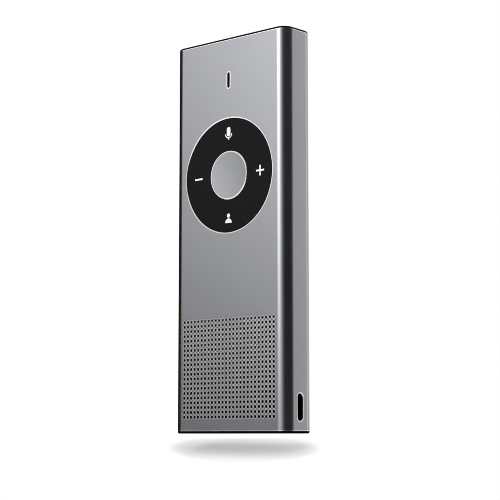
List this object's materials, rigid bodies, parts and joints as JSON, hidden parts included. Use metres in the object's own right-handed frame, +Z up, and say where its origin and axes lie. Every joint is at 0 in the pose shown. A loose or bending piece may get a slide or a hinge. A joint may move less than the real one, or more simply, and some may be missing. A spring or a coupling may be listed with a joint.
{
  "type": "handheld translator",
  "caption": "Slim upright handheld voice translator with a rocking ring key round a push button, a perforated speaker field and a side charging port.",
  "frame": {"origin": "middle of the bottom face, on the surface that the device stands on", "axes": "+Z up along the long axis, -Y out of the front face, +X out of the side face that holds the charging port"},
  "size_m": [0.0472, 0.0132, 0.125],
  "materials": {
    "anodised_aluminium": "fine bead-blasted anodised, satin",
    "button_aluminium": "spun satin",
    "black_cap_plastic": "fine moulded satin",
    "ring_plastic": "soft matte moulded",
    "carrier_plastic": "moulded",
    "smoked_window": "smoked clear",
    "port_steel": "folded stainless sheet",
    "port_plastic": "moulded",
    "spring_steel": "bright rolled sheet",
    "screw_steel": "zinc plated",
    "circuit_board": "green solder mask",
    "chip_plastic": "moulded black",
    "lamp_plastic": "milky",
    "plated_can": "gold plated",
    "black_rubber": "matte",
    "copper": "bare",
    "battery_foil": "pouch foil",
    "adhesive": "foam tape",
    "connector_plastic": "moulded",
    "flex_film": "amber film",
    "dust_cloth": "fine woven",
    "basket_steel": "black",
    "magnet_steel": "nickel plated",
    "cone_paper": "pressed"
  },
  "bodies": {
    "housing": {"aerial_strip": "copper", "battery_connector": "connector_plastic", "battery_pack": "battery_foil", "battery_pad": "adhesive", "battery_tab": "flex_film", "board_screw_1": "screw_steel", "board_screw_2": "screw_steel", "board_screw_3": "screw_steel", "board_screw_4": "screw_steel", "board_screw_5": "screw_steel", "board_screw_6": "screw_steel", "bottom_end_cap": "black_cap_plastic", "dome_button": "spring_steel", "dome_louder": "spring_steel", "dome_person": "spring_steel", "dome_quieter": "spring_steel", "dome_voice": "spring_steel", "dust_mesh": "dust_cloth", "housing_sleeve": "anodised_aluminium", "inner_frame": "carrier_plastic", "key_frame": "carrier_plastic", "light_pipe": "smoked_window", "main_board": "circuit_board", "memory_chip": "chip_plastic", "microphone": "plated_can", "microphone_boot": "black_rubber", "port_board": "circuit_board", "port_cable": "flex_film", "port_shell": "port_steel", "port_tongue": "port_plastic", "processor": "chip_plastic", "shield_can": "spring_steel", "speaker_basket": "basket_steel", "speaker_chamber": "carrier_plastic", "speaker_gasket": "black_rubber", "speaker_grille": "anodised_aluminium", "speaker_magnet": "magnet_steel", "speaker_surround": "black_rubber", "speaker_top_plate": "magnet_steel", "speaker_yoke": "magnet_steel", "status_led": "lamp_plastic", "top_end_cap": "black_cap_plastic"},
    "centre_button": {"button_cap": "button_aluminium", "button_carrier": "carrier_plastic"},
    "rocker_gimbal": {"gimbal_plate": "spring_steel"},
    "ring": {"ring_key": "ring_plastic"},
    "speaker_motor": {"speaker_cone": "cone_paper", "voice_coil": "copper"}
  },
  "joints": [
    {"name": "button_press", "type": "slide", "parent": "housing", "child": "centre_button", "axis": [0, 1, 0], "range_m": [0, 0.0003], "stiffness_N_per_m": 1500, "deforming": ["dome_button"]},
    {"name": "ring_rock_up_down", "type": "hinge", "parent": "housing", "child": "rocker_gimbal", "pos_m": [0, -0.0034, 0.0807], "axis": [1, 0, 0], "range_deg": [-1, 1], "stiffness_Nm_per_rad": 0.6, "deforming": ["dome_voice", "dome_person"]},
    {"name": "ring_rock_side_to_side", "type": "hinge", "parent": "rocker_gimbal", "child": "ring", "pos_m": [0, -0.0034, 0.0807], "axis": [0, 0, 1], "range_deg": [-1, 1], "stiffness_Nm_per_rad": 0.6, "deforming": ["dome_louder", "dome_quieter"]},
    {"name": "speaker_stroke", "type": "slide", "parent": "housing", "child": "speaker_motor", "axis": [0, 1, 0], "range_m": [-0.0002, 0.0002], "stiffness_N_per_m": 800, "deforming": ["speaker_surround"]}
  ]
}
